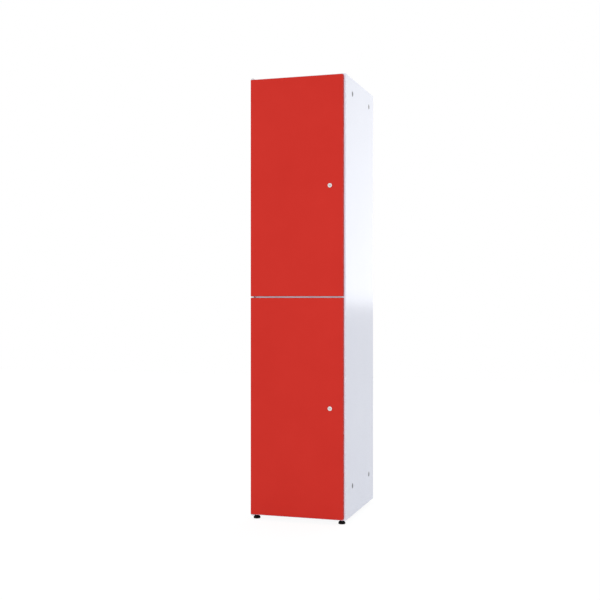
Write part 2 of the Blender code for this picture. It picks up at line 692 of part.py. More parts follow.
def pad_mesh():
    """Turn a bell-shaped foot pad with a socket for its stud."""
    socket = STUD_DIAMETER / 2 + FIT
    neck = PAD_NECK_DIAMETER / 2
    base = PAD_BASE_DIAMETER / 2
    rise = PAD_TOP - PAD_NECK_HEIGHT - PAD_RIM_HEIGHT
    bell = []
    for step in range(BELL_STEPS + 1):
        share = step / BELL_STEPS
        swell = (1 - math.cos(math.pi * share)) / 2
        bell.append((neck + (base - neck) * swell, PAD_RIM_HEIGHT + rise * (1 - share)))
    return turned([(0, PAD_FLOOR), (socket, PAD_FLOOR), (socket, PAD_TOP), (neck, PAD_TOP)] + bell
                  + [(base, 0), (0, 0)])


def build_feet(black, steel):
    """Four adjustable feet, each on an empty on its screw's axis, and their nuts on the base lips."""
    pad = pad_mesh()
    stud = rod(STUD_DIAMETER, PAD_FLOOR + FIT, BASE_TOP - SHEET - HEADROOM)
    seat = BODY_BOTTOM + SHEET + FIT
    nut = chamfered_nut(NUT_ACROSS_FLATS, seat, seat + NUT_HEIGHT, STUD_DIAMETER + 2 * FIT)
    for name, x, y in foot_places():
        axis = add_axis(f"{name}_foot_axis", (x, y, 0))
        add(f"{name}_foot_pad", pad, black, (x, y, 0), None, axis)
        add(f"{name}_foot_stud", stud, steel, (x, y, 0), None, axis)
        add(f"{name}_foot_nut", nut, steel, (x, y, 0))


def main():
    """Build the whole cabinet."""
    clear_scene()
    white = make_material("white_paint", (0.80, 0.81, 0.83), 0.25, 0.0)
    red = make_material("red_paint", (0.55, 0.035, 0.025), 0.30, 0.0)
    chrome = make_material("chrome", (0.80, 0.80, 0.80), 0.12, 1.0)
    steel = make_material("zinc_steel", (0.60, 0.60, 0.58), 0.35, 1.0)
    nylon = make_material("nylon", (0.75, 0.74, 0.70), 0.45, 0.0)
    grey = make_material("grey_plastic", (0.165, 0.175, 0.19), 0.50, 0.0)
    black = make_material("black_plastic", (0.012, 0.012, 0.012), 0.45, 0.0)
    rubber = make_material("black_rubber", (0.02, 0.02, 0.02), 0.80, 0.0)
    build_carcass(white)
    build_hinges(white, steel)
    build_doors(red, steel, chrome, nylon)
    build_bumpers(rubber)
    build_hole_plugs(grey)
    build_hooks(steel)
    build_feet(black, steel)


main()
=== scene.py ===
# %% [markdown]
# A two-door steel storage cabinet
#
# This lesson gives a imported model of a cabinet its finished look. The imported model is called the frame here:
# it says where each piece is and which pieces move together. Nothing in the frame is moved. Every piece is
# made again in its own place and stands for the frame's piece, either as a copy with its edges broken or as
# a finer shape of the same size. Only the rivets are added.

# %% Load the frame
import json
import math

import bmesh
import bpy
from mathutils import Matrix, Vector


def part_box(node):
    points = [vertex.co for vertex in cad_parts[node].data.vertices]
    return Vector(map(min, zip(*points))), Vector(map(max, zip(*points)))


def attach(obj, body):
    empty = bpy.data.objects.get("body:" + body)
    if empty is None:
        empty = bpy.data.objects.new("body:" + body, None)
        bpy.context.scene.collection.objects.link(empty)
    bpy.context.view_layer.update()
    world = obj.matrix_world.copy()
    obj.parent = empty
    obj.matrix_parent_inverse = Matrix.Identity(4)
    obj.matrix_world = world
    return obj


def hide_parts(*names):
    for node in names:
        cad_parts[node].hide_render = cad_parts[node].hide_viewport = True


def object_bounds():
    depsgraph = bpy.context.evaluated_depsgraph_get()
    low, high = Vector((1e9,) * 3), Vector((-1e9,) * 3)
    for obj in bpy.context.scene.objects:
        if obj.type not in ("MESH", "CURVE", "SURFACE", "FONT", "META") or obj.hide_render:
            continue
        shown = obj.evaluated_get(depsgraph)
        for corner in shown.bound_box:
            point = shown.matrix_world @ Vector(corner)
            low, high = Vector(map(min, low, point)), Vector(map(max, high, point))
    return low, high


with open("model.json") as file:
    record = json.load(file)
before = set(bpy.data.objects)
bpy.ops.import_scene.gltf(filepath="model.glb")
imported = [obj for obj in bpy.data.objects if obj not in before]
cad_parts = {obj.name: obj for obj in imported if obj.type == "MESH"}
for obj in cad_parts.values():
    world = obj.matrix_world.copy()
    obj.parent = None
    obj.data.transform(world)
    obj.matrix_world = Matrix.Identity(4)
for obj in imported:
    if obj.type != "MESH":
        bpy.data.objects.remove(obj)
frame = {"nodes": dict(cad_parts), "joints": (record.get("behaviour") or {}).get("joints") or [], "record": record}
frame_low, frame_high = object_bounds()
print("frame box in metres:", [round(value, 4) for value in frame_high - frame_low])

# %% [markdown]
# Who carries what
#
# The record that comes with the frame lists the bodies, which are groups of pieces that move as one, and the
# finish of each piece. Two small dictionaries turn those lists round, so that a piece's body and finish can
# be looked up by its name. That is safer than typing the body's name again for every piece. The joints say
# where the doors and the locks turn.

# %% Look up bodies, finishes and axes
LEVELS = ("lower", "upper")

record = frame["record"]
body_of_node = {node: body for body, nodes in record["behaviour"]["bodies"].items() for node in nodes}
slot_of_node = {part["node"]: part["material_slot"] for part in record["subparts"]}
axis_place = {joint["name"]: Vector(joint["pos_m"]) for joint in frame["joints"] if "pos_m" in joint}
lock_axis = {level: axis_place[f"{level}_lock_turn"] for level in LEVELS}

# %% [markdown]
# The camera
#
# The photograph was taken level, from about half the cabinet's height and a little to its right, so that
# upright edges stay upright. A camera that is level needs no shift: turning it about Z alone is enough.
# Place, turn and lens were found by laying the cabinet's corners over those in the photograph.

# %% Camera at the photograph's viewing angle
CAMERA_PLACE = Vector((1.2109, -4.0665, 0.8941))
CAMERA_TURN = math.radians(17.369)
CAMERA_LENS_MM = 59.87


def add_object(name, data):
    """Make an object and link it into the scene."""
    made = bpy.data.objects.new(name, data)
    bpy.context.scene.collection.objects.link(made)
    return made


camera_data = bpy.data.cameras.new("camera")
camera_data.lens = CAMERA_LENS_MM
camera = add_object("camera", camera_data)
camera.location = CAMERA_PLACE
camera.rotation_euler = (math.radians(90), 0, CAMERA_TURN)
bpy.context.scene.camera = camera
print("camera stands", round(CAMERA_PLACE.length, 2), "m from the origin")

# %% [markdown]
# Tools for materials
#
# Every finish below is a Principled shader with a few texture nodes. Short functions make the steps that all
# of them share: start a material, add a node, read a noise at a place on the piece, turn its grey value into
# another range, and let it choose the colour, the gloss or the height of the surface. The noise reads Object
# coordinates, which are metres here, so a scale of 650 means about 650 spots in a metre. Most of a noise lies
# between 0.3 and 0.7, so that is the range that gets stretched.

# %% Functions that start a material and add nodes
def start_finish(name, **constants):
    """Make a material and set numbers or colours on its shader's own sockets."""
    material = bpy.data.materials.new(name)
    material.use_nodes = True
    shader = material.node_tree.nodes["Principled BSDF"]
    for label, value in constants.items():
        shader.inputs[label.replace("_", " ")].default_value = value
    return material, material.node_tree, shader


def add_node(tree, kind, inputs, **options):
    """Add a node, set its options, give each input a link or a value, and return its first output in use."""
    node = tree.nodes.new(kind)
    for key, value in options.items():
        setattr(node, key, value)
    for label, value in inputs.items():
        if isinstance(value, bpy.types.NodeSocket):
            tree.links.new(value, node.inputs[label])
        else:
            node.inputs[label].default_value = value
    return next(socket for socket in node.outputs if not socket.is_unavailable)


def place_on(tree):
    """Return the Object coordinates of a point on the piece."""
    return tree.nodes.new("ShaderNodeTexCoord").outputs["Object"]


print("node functions ready")

# %% Functions that texture a finish
NOISE_LOW = 0.3
NOISE_HIGH = 0.7


def spots(tree, scale, detail):
    """Return a noise between 0 and 1."""
    return add_node(tree, "ShaderNodeTexNoise", {"Vector": place_on(tree), "Scale": scale, "Detail": detail})


def between(tree, value, low, high, start=NOISE_LOW, end=NOISE_HIGH):
    """Map a value that runs from start to end to one that runs from low to high."""
    ends = {"From Min": start, "From Max": end, "To Min": low, "To Max": high}
    return add_node(tree, "ShaderNodeMapRange", {"Value": value, **ends})


def tint(tree, shader, value, first, second):
    """Let a value between 0 and 1 choose between two base colours."""
    colours = {"Factor": value, "A": (*first, 1), "B": (*second, 1)}
    tree.links.new(add_node(tree, "ShaderNodeMix", colours, data_type="RGBA"), shader.inputs["Base Color"])


def polish(tree, shader, noise, gloss):
    """Let a noise move the roughness between two values."""
    tree.links.new(between(tree, noise, *gloss), shader.inputs["Roughness"])


def relief(tree, shader, height, depth):
    """Push the surface in and out by a height between 0 and 1, depth metres deep."""
    bump = add_node(tree, "ShaderNodeBump", {"Height": height, "Distance": depth})
    tree.links.new(bump, shader.inputs["Normal"])


print("texture functions ready")

# %% [markdown]
# Powder coat, white and red
#
# Steel cabinets are sprayed with dry paint that melts in an oven. A glossy one flows almost flat and leaves a
# shallow orange peel, with hills one to two millimetres apart. A matt one keeps a finer and deeper grain. A
# flat colour would look like plastic film, so a noise gives that relief, another a little change of gloss,
# and a third a cloudy tone too faint to see as a pattern. The white is glossy and slightly blue, the red is
# matt.

# %% Powder coat finishes
PAINT_CLOUDS = 6
PAINT_PATCHES = 90


def powder_coat(name, thin, full, gloss, specular, grain, depth):
    """Make a baked paint between two tones, with a range of roughness and a grain of some depth."""
    material, tree, shader = start_finish(name, Specular_IOR_Level=specular, IOR=1.5)
    clouds = between(tree, spots(tree, PAINT_CLOUDS, detail=3), 0, 1)
    tint(tree, shader, clouds, thin, full)
    polish(tree, shader, spots(tree, PAINT_PATCHES, detail=3), gloss)
    relief(tree, shader, spots(tree, grain, detail=1), depth)
    return material


finishes = {
    "body_white": powder_coat("white_powder_coat", thin=(0.788, 0.823, 0.953), full=(0.804, 0.838, 0.963),
                              gloss=(0.17, 0.23), specular=0.5, grain=650, depth=6e-6),
    "door_red": powder_coat("red_powder_coat", thin=(0.588, 0.0312, 0.0225), full=(0.608, 0.0338, 0.0245),
                            gloss=(0.40, 0.48), specular=0.03, grain=1300, depth=2.2e-5),
}
print("paints:", ", ".join(finishes))

# %% [markdown]
# Plated metal
#
# The locks are chromed and the hooks, pins, nuts and studs are zinc plated. Chrome is a mirror whose fine
# polishing marks all run round the lock, so its noise is drawn out along circles: the distance from the
# lock's axis drives it. Each lock has its own copy, because the pattern is centred on that lock. Zinc is
# duller and mottled, with a hint of blue and straw where the coating is thicker.

# %% Metal finishes
POLISH_MARKS = 9000
POLISH_DEPTH = 1.5e-6
CHROME_PATCHES = 400
CHROME_TONES = ((0.76, 0.77, 0.78), (0.83, 0.83, 0.83))
CHROME_GLOSS = (0.10, 0.24)
ZINC_CLOUDS = 160
ZINC_TONES = ((0.56, 0.58, 0.61), (0.68, 0.67, 0.62))
ZINC_PATCHES = 900
ZINC_GLOSS = (0.26, 0.42)
ZINC_GRAIN = 2500
ZINC_DEPTH = 4e-6


def chrome(name, centre):
    """Make a polished chrome whose marks circle an axis along Y through a centre."""
    material, tree, shader = start_finish(name, Metallic=1.0)
    flat = add_node(tree, "ShaderNodeVectorMath", {0: place_on(tree), 1: (1, 0, 1)}, operation="MULTIPLY")
    ends = {0: flat, 1: (centre.x, 0, centre.z)}
    from_axis = add_node(tree, "ShaderNodeVectorMath", ends, operation="DISTANCE")
    marks = {"Scale": POLISH_MARKS, "W": from_axis}
    rings = add_node(tree, "ShaderNodeTexNoise", marks, noise_dimensions="1D")
    patches = between(tree, spots(tree, CHROME_PATCHES, detail=3), 0, 1)
    tint(tree, shader, patches, *CHROME_TONES)
    polish(tree, shader, rings, CHROME_GLOSS)
    relief(tree, shader, rings, POLISH_DEPTH)
    return material


def zinc_plate():
    """Make a dull zinc plating with cloudy passivated colour."""
    material, tree, shader = start_finish("zinc_plate", Metallic=1.0)
    clouds = between(tree, spots(tree, ZINC_CLOUDS, detail=4), 0, 1)
    tint(tree, shader, clouds, *ZINC_TONES)
    polish(tree, shader, spots(tree, ZINC_PATCHES, detail=3), ZINC_GLOSS)
    relief(tree, shader, spots(tree, ZINC_GRAIN, detail=2), ZINC_DEPTH)
    return material


finishes["zinc_steel"] = zinc_plate()
lock_chrome = {level: chrome(f"{level}_lock_chrome", lock_axis[level]) for level in LEVELS}
print("metals:", [material.name for material in (finishes["zinc_steel"], *lock_chrome.values())])

# %% [markdown]
# Plastics and rubber
#
# The feet, hole plugs and hinge bushes are moulded, and a mould's spark-eroded skin leaves a fine even grain.
# They could each have a tree of their own, but they differ only in numbers, so one function makes them all,
# given two tones, a roughness range and the grain's size. With a rougher, deeper grain the same recipe makes
# rubber, and with a finer one a dark painted shade for the inside of a keyway, standing for the shade deep in the
# slot.

# %% Moulded finishes
MOULD_MOTTLE = 220
MOTTLE_LOW = 0.45
MOTTLE_HIGH = 0.8
MOULD_PATCHES = 500


def moulded(name, dark, pale, gloss, grain, depth, specular=0.5):
    """Make a moulded plastic or rubber with two tones and a fine grain."""
    material, tree, shader = start_finish(name, Specular_IOR_Level=specular)
    mottle = between(tree, spots(tree, MOULD_MOTTLE, detail=4), 0, 1, MOTTLE_LOW, MOTTLE_HIGH)
    tint(tree, shader, mottle, dark, pale)
    polish(tree, shader, spots(tree, MOULD_PATCHES, detail=2), gloss)
    relief(tree, shader, spots(tree, grain, detail=2), depth)
    return material


finishes |= {
    "foot_black": moulded("black_moulding", dark=(0.002, 0.002, 0.002), pale=(0.007, 0.007, 0.007),
                          gloss=(0.5, 0.65), grain=1800, depth=1e-5, specular=0.15),
    "plug_grey": moulded("grey_moulding", dark=(0.15, 0.16, 0.175), pale=(0.18, 0.19, 0.205),
                         gloss=(0.45, 0.58), grain=2200, depth=1e-5),
    "bush_nylon": moulded("cream_nylon", dark=(0.70, 0.685, 0.62), pale=(0.76, 0.75, 0.69),
                          gloss=(0.36, 0.46), grain=1500, depth=5e-6),
    "bumper_rubber": moulded("black_rubber", dark=(0.014, 0.014, 0.014), pale=(0.03, 0.03, 0.03),
                             gloss=(0.75, 0.9), grain=1300, depth=2e-5),
}
# The keyway's dark finish is painted shade: it stands for the shade deep inside the narrow slot, not the metal's
# own colour.
keyway_painted_shade = moulded("painted_keyway_shade", dark=(0.010, 0.009, 0.008), pale=(0.030, 0.027, 0.024),
                      gloss=(0.5, 0.7), grain=2500, depth=5e-6, specular=0.2)
print("finishes so far:", ", ".join(finishes))

# %% [markdown]
# Tools that work a mesh
#
# A workshop has a few machines that make most of its parts, and so has this lesson. First come a cutter that
# takes one shape out of another and a file that takes the sharpness off edges. Modifiers do this work,
# because they are what a person would use by hand, and their result is read back at once as a plain mesh. A
# cut can list its points in another order each time, so they are sorted, and every run gives the same mesh.

# %% Functions that shade, modify and read back
SMOOTH_ANGLE = math.radians(35)


def smoothed(mesh):
    """Shade a mesh smooth on its round stretches and sharp at its corners."""
    mesh.shade_smooth()
    mesh.set_sharp_from_angle(angle=SMOOTH_ANGLE)
    return mesh


def mesh_from(bm):
    """Turn a bmesh into a mesh with outward faces."""
    bmesh.ops.recalc_face_normals(bm, faces=bm.faces)
    mesh = bpy.data.meshes.new("piece")
    bm.to_mesh(mesh)
    bm.free()
    return smoothed(mesh)


def read_back(holder):
    """Return the plain mesh that an object's modifiers make, and remove the object."""
    graph = bpy.context.evaluated_depsgraph_get()
    made = bpy.data.meshes.new_from_object(holder.evaluated_get(graph))
    bpy.data.objects.remove(holder)
    return made


def worked(mesh, modifiers):
    """Return the plain mesh that a list of (type, settings) modifiers makes of another."""
    holder = add_object("workpiece", mesh)
    for kind, settings in modifiers:
        modifier = holder.modifiers.new(kind.title(), kind)
        for key, value in settings.items():
            setattr(modifier, key, value)
    return read_back(holder)


print("modifier functions ready")

# %% Functions that cut and break edges
ORDER_DIGITS = 7
EDGE_ANGLE = math.radians(40)
FLAT_SHADING = ("WEIGHTED_NORMAL", {"keep_sharp": True})


def in_order(mesh):
    """Rebuild a mesh with its points and faces in an order that is the same in every run."""
    points = [tuple(point.co) for point in mesh.vertices]
    order = sorted(range(len(points)), key=lambda i: [round(value, ORDER_DIGITS) for value in points[i]])
    rank = {old: new for new, old in enumerate(order)}
    rings = []
    for face in mesh.polygons:
        ring = [rank[i] for i in face.vertices]
        start = ring.index(min(ring))
        rings.append(ring[start:] + ring[:start])
    made = bpy.data.meshes.new("ordered")
    made.from_pydata([points[i] for i in order], [], sorted(rings))
    return made


def cut(mesh, tools, operation="DIFFERENCE"):
    """Cut tool meshes out of a mesh, join them to it with UNION, or keep what they share with INTERSECT."""
    holders = [add_object("tool", tool) for tool in tools]
    made = worked(mesh, [("BOOLEAN", {"object": holder, "operation": operation}) for holder in holders])
    for holder in holders:
        bpy.data.objects.remove(holder)
    return smoothed(in_order(made))


def broken_edges(mesh, width, segments=2):
    """Take the sharpness off a piece's edges, and keep its flats flat to the light."""
    bevel = {"width": width, "segments": segments, "limit_method": "ANGLE", "angle_limit": EDGE_ANGLE,
             "use_clamp_overlap": False}
    return worked(mesh, [("BEVEL", bevel), FLAT_SHADING])


print("cutting functions ready")

# %% [markdown]
# Tools that make shapes
#
# The other machines are a press that lifts an outline and a lathe that turns a profile. An outline is a
# short list of points, with its round stretches worked out as arcs. Blender's own cylinder would do for a
# plain rod, but a profile can have a head, a bore and rounded corners in one go. Two roundings share a
# side, so each may take a little less than half of it.

# %% Functions that lift outlines
ROUND_STEPS = 48


def lifted(outline, low, high):
    """Lift a flat outline from one height to another along Z."""
    bm = bmesh.new()
    face = bm.faces.new([bm.verts.new((x, y, low)) for x, y in outline])
    grown_parts = bmesh.ops.extrude_face_region(bm, geom=[face])["geom"]
    top = [item for item in grown_parts if isinstance(item, bmesh.types.BMVert)]
    bmesh.ops.translate(bm, verts=top, vec=(0, 0, high - low))
    return mesh_from(bm)


def block(low, high):
    """Make a box between two corners, as a cutter."""
    outline = [(low[0], low[1]), (high[0], low[1]), (high[0], high[1]), (low[0], high[1])]
    return lifted(outline, low[2], high[2])


def arc(radius, start, end, steps):
    """List the points of an arc round the origin between two angles in degrees."""
    angles = [math.radians(start + (end - start) * step / steps) for step in range(steps + 1)]
    return [(radius * math.cos(angle), radius * math.sin(angle)) for angle in angles]


def rod(radius, low, high):
    """Make a round bar along Z, as a cutter."""
    return lifted(arc(radius, 0, 360, ROUND_STEPS)[:-1], low, high)


def flatted_rod(radius, flat_depth, low, high):
    """Make a round bar along Z with two flats facing X, as a cutter."""
    start = math.degrees(math.acos(1 - flat_depth / radius))
    half = arc(radius, start, 180 - start, ROUND_STEPS // 2)
    return lifted(half + [(-x, -y) for x, y in half], low, high)


print("lifting functions ready")

# %% Functions that turn profiles
MERGE = 1e-5
CORNER_ROOM = 2.2


def turned(profile):
    """Turn a closed profile of (radius, height) points about Z."""
    bm = bmesh.new()
    points = [bm.verts.new((radius, 0, height)) for radius, height in profile]
    lines = [bm.edges.new((points[i - 1], points[i])) for i in range(len(points))
             if profile[i - 1][0] > 0 or profile[i][0] > 0]
    bmesh.ops.spin(bm, geom=points + lines, axis=(0, 0, 1), cent=(0, 0, 0), angle=2 * math.pi,
                   steps=ROUND_STEPS, use_merge=True)
    bmesh.ops.remove_doubles(bm, verts=bm.verts, dist=MERGE / 10)
    bmesh.ops.dissolve_degenerate(bm, edges=bm.edges, dist=MERGE / 10)
    return mesh_from(bm)


def softened(profile, radius, steps=4):
    """Round the corners of a closed profile that lie off the axis."""
    path = []
    for i, corner in enumerate(profile):
        before, after = Vector(profile[i - 1]), Vector(profile[(i + 1) % len(profile)])
        corner = Vector(corner)
        if corner.x <= 0:
            path.append(tuple(corner))
            continue
        room = min((before - corner).length / CORNER_ROOM, (after - corner).length / CORNER_ROOM)
        reach = min(radius, room)
        start = corner + (before - corner).normalized() * reach
        end = corner + (after - corner).normalized() * reach
        for step in range(steps + 1):
            share = step / steps
            path.append(tuple(start.lerp(corner, share).lerp(corner.lerp(end, share), share)))
    return path


print("turning functions ready")

# %% Functions that move shapes
def placed(mesh, *moves):
    """Move a copy of a mesh by a row of matrices, the last one first."""
    made = mesh.copy()
    for move in reversed(moves):
        made.transform(move)
    return made


def at(x, y, z):
    """Return a move to a place."""
    return Matrix.Translation((x, y, z))


print("moving functions ready")

# %% [markdown]
# Putting a piece into the scene
#
# A finished piece sits at the origin with its place in its mesh, like the frame's own nodes. It rides on the
# body of the node that it stands for, takes that node's finish, and hides the node. One function does this
# for every piece, so that no piece can be left behind when a door swings.


def stand_for(node, mesh, finish=None):
    """Show a mesh in place of a node of the frame, on the node's body and with its finish."""
    slot = slot_of_node[node]
    mesh.materials.clear()
    mesh.materials.append(finish or finishes[slot])
    piece = add_object(f"{node}_made", mesh)
    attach(piece, body_of_node[node])
    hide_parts(node)
    return piece


def middle(node):
    """Return the middle of a node's box."""
    low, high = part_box(node)
    return (low + high) / 2


def radius_of(node):
    """Return half of a node's width along X, which is a round piece's radius."""
    low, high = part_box(node)
    return (high.x - low.x) / 2


print("pieces can be placed now")

# %% [markdown]
# Tools for geometry nodes
#
# Geometry nodes suit what follows a rule: a sheet folded along a line, a row of rivets, a screw thread. The
# trees are built here in code. A tree's sizes are named inputs, so one tree serves several pieces. An input
# is set by its socket's identifier before the holder is evaluated, and the result is read back as a plain
# mesh.

# %% Functions for geometry node trees
def start_tree(name, **sizes):
    """Start a geometry tree with a geometry input and named inputs, each of a kind of socket."""
    tree = bpy.data.node_groups.new(name, "GeometryNodeTree")
    tree.interface.new_socket("Geometry", in_out="INPUT", socket_type="NodeSocketGeometry")
    tree.interface.new_socket("Geometry", in_out="OUTPUT", socket_type="NodeSocketGeometry")
    for label, kind in sizes.items():
        tree.interface.new_socket(label, in_out="INPUT", socket_type=f"NodeSocket{kind}")
    return tree, tree.nodes.new("NodeGroupInput").outputs


def end_tree(tree, geometry, finish):
    """End a tree in real geometry with a material."""
    whole = add_node(tree, "GeometryNodeRealizeInstances", {"Geometry": geometry})
    painted = add_node(tree, "GeometryNodeSetMaterial", {"Geometry": whole, "Material": finish})
    tree.links.new(painted, tree.nodes.new("NodeGroupOutput").inputs["Geometry"])


def grown(tree, mesh, **sizes):
    """Run a tree on a mesh with its sizes set, and return the plain mesh that it makes."""
    holder = add_object("grown", mesh)
    modifier = holder.modifiers.new("tree", "NODES")
    modifier.node_group = tree
    for socket in tree.interface.items_tree:
        if socket.in_out == "INPUT" and socket.name in sizes:
            modifier[socket.identifier] = sizes[socket.name]
    return read_back(holder)


print("tree functions ready")

# %% [markdown]
# A tree for folded sheet
#
# A press brake folds a flat blank along straight lines. Seen from its end such a piece is a bent line, so the
# tree takes a line, rounds its corners to the bend radius, and draws it out to the piece's length. Where two
# bends lie close together, as in a hem that is folded flat, the radius is limited by itself, and the points
# where two bends meet are merged. A Solidify modifier then gives the sheet its thickness, half to each side.

# %% Tree and function for folded sheet
FOLD_STEPS = 6

fold_tree, fold_input = start_tree("folded_sheet", Bend="Float", Bend_Steps="Int", Length="Float",
                                   Finish="Material")
line = add_node(fold_tree, "GeometryNodeMeshToCurve", {"Mesh": fold_input["Geometry"]})
rounding = {"Curve": line, "Count": fold_input["Bend_Steps"], "Radius": fold_input["Bend"],
            "Limit Radius": True}
bent = add_node(fold_tree, "GeometryNodeFilletCurve", rounding, mode="POLY")
wire = add_node(fold_tree, "GeometryNodeCurveToMesh", {"Curve": bent})
wire = add_node(fold_tree, "GeometryNodeMergeByDistance", {"Geometry": wire, "Distance": MERGE})
draw = add_node(fold_tree, "ShaderNodeCombineXYZ", {"Z": fold_input["Length"]})
drawing = {"Mesh": wire, "Offset": draw, "Offset Scale": 1.0}
drawn = add_node(fold_tree, "GeometryNodeExtrudeMesh", drawing, mode="EDGES")
end_tree(fold_tree, drawn, fold_input["Finish"])


def wall(thickness, offset):
    """Describe the modifier that gives a skin its thickness."""
    return ("SOLIDIFY", {"thickness": thickness, "offset": offset, "use_even_offset": True,
                         "use_quality_normals": True})


def folded(points, thickness, bend, length, finish):
    """Fold a strip along a centre line in the XY plane and draw it out along Z."""
    blank = bpy.data.meshes.new("line")
    blank.from_pydata([(x, y, 0) for x, y in points], [(i, i + 1) for i in range(len(points) - 1)], [])
    sheet = grown(fold_tree, blank, Bend=bend, Bend_Steps=FOLD_STEPS, Length=length, Finish=finish)
    return smoothed(worked(sheet, [wall(thickness, 0)]))


print("fold tree has", len(fold_tree.nodes), "nodes")

# %% [markdown]
# The two sides
#
# Each side is one sheet: a rear flange, the tall wall, and a front flange whose edge is hemmed back on itself
# so that it is safe to touch. Four round holes let neighbouring cabinets be bolted together. In the left side
# the front flange is slotted for the three hinge brackets. A thickened box would have no bends, so the sides
# are folded by the tree above. The holes and slots are cut where the frame's plugs and brackets are.

# %% Line and cutters for the sides
SHEET = 0.001
HEM_WIDTH = 0.010
HEM_GAP = 0.0004
LINK_HOLE_RADIUS = 0.0105
LINK_HOLES = range(1, 5)
CUT = 0.002
DRILL_REACH = 4 * CUT
FIT = 0.0003
BRACKETS = ("bottom_hinge_bracket", "middle_hinge_bracket", "top_hinge_bracket")
BRACKET_THICKNESS = 0.0025


def side_line(sign):
    """List the corners of a side's centre line, from the hem to the rear flange."""
    low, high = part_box("right_side")
    edge = low.x + SHEET / 2
    outside = high.x - SHEET / 2
    front = low.y + SHEET / 2
    hem = front + SHEET + HEM_GAP
    rear = high.y - SHEET / 2
    corners = [(edge + HEM_WIDTH, hem), (edge, hem), (edge, front), (outside, front), (outside, rear),
               (low.x, rear)]
    return [(sign * x, y) for x, y in corners]


def link_drills(side):
    """Make a cutter for each linking hole of a side."""
    across = Matrix.Rotation(math.radians(90), 4, "Y")
    drill = rod(LINK_HOLE_RADIUS, -DRILL_REACH, DRILL_REACH)
    return [placed(drill, at(*middle(f"{side}_hole_plug_{index}")), across) for index in LINK_HOLES]


def bracket_slots():
    """Make a cutter for each hinge bracket's slot, open to the flange's free edge."""
    side_low, side_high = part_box("left_side")
    flange_back = side_low.y + 2 * SHEET + HEM_GAP + CUT
    cutters = []
    for node in BRACKETS:
        low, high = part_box(node)
        bottom = high.z - BRACKET_THICKNESS - FIT
        top = high.z + FIT
        if node == "bottom_hinge_bracket":
            bottom = side_low.z - CUT
            top = low.z + BRACKET_THICKNESS + FIT
        if node == "top_hinge_bracket":
            top = side_high.z + CUT
        cutters.append(block((low.x - FIT, side_low.y - CUT, bottom), (side_high.x + CUT, flange_back, top)))
    return cutters


print("a side is folded along", len(side_line(1)) - 2, "lines")

# %% Fold and cut the sides
INNER_BEND = 0.0006
PAINT_EDGE = 0.00018
SIDES = (("left", -1), ("right", 1))

for side, sign in SIDES:
    low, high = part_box(f"{side}_side")
    sheet = folded(side_line(sign), SHEET, INNER_BEND + SHEET / 2, high.z - low.z, finishes["body_white"])
    sheet.transform(at(0, 0, low.z))
    tools = link_drills(side)
    if side == "left":
        tools += bracket_slots()
    piece = stand_for(f"{side}_side", broken_edges(cut(sheet, tools), PAINT_EDGE))
    print(piece.name, len(piece.data.polygons), "faces")

# %% [markdown]
# Panels, liners and brackets
#
# The top, base, shelf, back, door liners and hinge brackets are right in the frame, but its meshes are loose
# triangles with knife-sharp edges, and paint never leaves an edge like that. A copy is merged into one skin,
# its flats are joined into single faces, and each edge is broken by a fraction of a millimetre. The brackets
# are thicker strip, so their edges are broken further.

# %% Copy panels from the frame and break their edges
FLAT_ANGLE = math.radians(0.5)
STRIP_EDGE = 2 * PAINT_EDGE
STRIP_STEPS = 3
PANELS = ("top_panel", "base_panel", "middle_shelf", "back_panel", "lower_door_liner", "upper_door_liner")


def eased_copy(node, width, segments=2):
    """Stand a copy of a node in its place, its triangles joined into flats and its edges broken."""
    bm = bmesh.new()
    bm.from_mesh(frame["nodes"][node].data)
    bmesh.ops.remove_doubles(bm, verts=bm.verts, dist=MERGE)
    bmesh.ops.dissolve_limit(bm, angle_limit=FLAT_ANGLE, verts=bm.verts, edges=bm.edges)
    stand_for(node, broken_edges(mesh_from(bm), width, segments))


for node in PANELS:
    eased_copy(node, PAINT_EDGE)
for node in BRACKETS:
    eased_copy(node, STRIP_EDGE, STRIP_STEPS)
print(len(PANELS) + len(BRACKETS), "panels, liners and brackets copied")

# %% [markdown]
# Door skins
#
# A door's front and its four edges are one sheet, folded all round, with a lip turned in behind to hold the
# liner. Its bends are what catch the light, so the skin is made afresh with finer bends than the frame has:
# a tray of plain faces is bevelled along its folds and then given the sheet's thickness inwards.

# %% Fold the door skins
DOOR_LIP = 0.015
BARREL_RADIUS = 0.007
BARREL_FLAT_DEPTH = 0.0007
BUSH_RADIUS = 0.0048
UPRIGHT = Matrix.Rotation(math.radians(90), 4, "X")


def door_tray(width, height, depth):
    """Fold a tray with its front at Z = 0, its walls behind and a mitred lip round its back."""
    bm = bmesh.new()
    corners = [(-width / 2, 0), (width / 2, 0), (width / 2, height), (-width / 2, height)]
    inner = [(x - math.copysign(DOOR_LIP, x), y + (DOOR_LIP if y == 0 else -DOOR_LIP)) for x, y in corners]
    front = [bm.verts.new((x, y, 0)) for x, y in corners]
    back = [bm.verts.new((x, y, -depth)) for x, y in corners]
    lip = [bm.verts.new((x, y, -depth)) for x, y in inner]
    bm.faces.new(front)
    for i in range(4):
        j = (i + 1) % 4
        bm.faces.new((front[j], front[i], back[i], back[j]))
        bm.faces.new((back[j], back[i], lip[i], lip[j]))
    bend = {"width": SHEET + INNER_BEND, "segments": FOLD_STEPS, "limit_method": "ANGLE",
            "angle_limit": SMOOTH_ANGLE}
    return worked(mesh_from(bm), [("BEVEL", bend), wall(SHEET, -1)])


